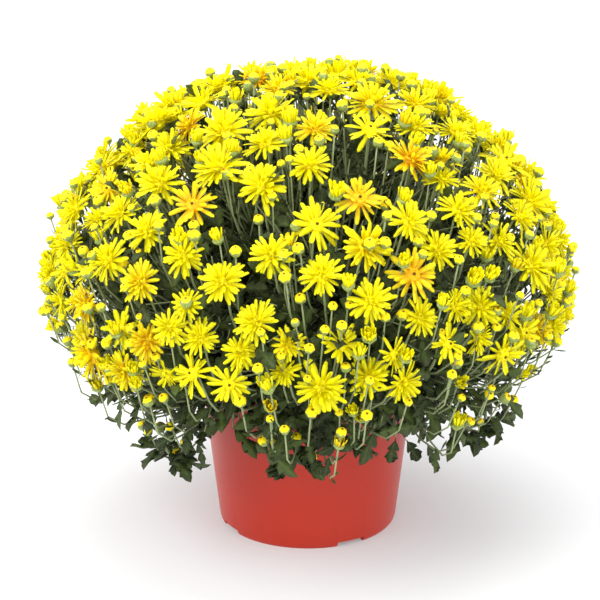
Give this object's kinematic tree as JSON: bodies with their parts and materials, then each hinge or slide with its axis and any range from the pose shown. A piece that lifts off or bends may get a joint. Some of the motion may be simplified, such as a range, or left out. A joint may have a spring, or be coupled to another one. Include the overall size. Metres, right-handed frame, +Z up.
{
  "type": "pot chrysanthemum",
  "caption": "Domed yellow garden chrysanthemum in flower and bud, in a round tapered red plastic pot with foot notches.",
  "frame": {"origin": "middle of the pot's foot, on the surface that it stands on", "axes": "+Z up through the pot and the crown; -Y towards the side that the picture shows"},
  "size_m": [0.4621, 0.4626, 0.4081],
  "materials": {
    "pot_red": "satin moulded plastic",
    "soil_brown": "loose, matte potting soil",
    "bark": "rough green-brown bark",
    "leaf_green": "soft matte leaf",
    "petal_yellow": "soft satin petal"
  },
  "bodies": {
    "root": {"blooms_01": "petal_yellow", "blooms_02": "petal_yellow", "blooms_03": "petal_yellow", "blooms_04": "petal_yellow", "blooms_05": "petal_yellow", "blooms_06": "petal_yellow", "blooms_07": "petal_yellow", "blooms_08": "petal_yellow", "blooms_09": "petal_yellow", "blooms_10": "petal_yellow", "blooms_11": "petal_yellow", "blooms_12": "petal_yellow", "blooms_13": "petal_yellow", "blooms_14": "petal_yellow", "blooms_15": "petal_yellow", "blooms_16": "petal_yellow", "blooms_17": "petal_yellow", "blooms_18": "petal_yellow", "blooms_19": "petal_yellow", "blooms_20": "petal_yellow", "blooms_21": "petal_yellow", "crown": "bark", "pot": "pot_red", "soil": "soil_brown", "spray_01": "leaf_green", "spray_02": "leaf_green", "spray_03": "leaf_green", "spray_04": "leaf_green", "spray_05": "leaf_green", "spray_06": "leaf_green", "spray_07": "leaf_green", "spray_08": "leaf_green", "spray_09": "leaf_green", "spray_10": "leaf_green", "spray_11": "leaf_green", "spray_12": "leaf_green", "spray_13": "leaf_green", "spray_14": "leaf_green", "spray_15": "leaf_green", "spray_16": "leaf_green", "spray_17": "leaf_green", "spray_18": "leaf_green", "spray_19": "leaf_green", "spray_20": "leaf_green", "spray_21": "leaf_green", "trailer_01": "leaf_green", "trailer_02": "leaf_green", "trailer_03": "leaf_green", "trailer_04": "leaf_green", "trailer_05": "leaf_green", "trailer_06": "leaf_green"}
  },
  "joints": []
}
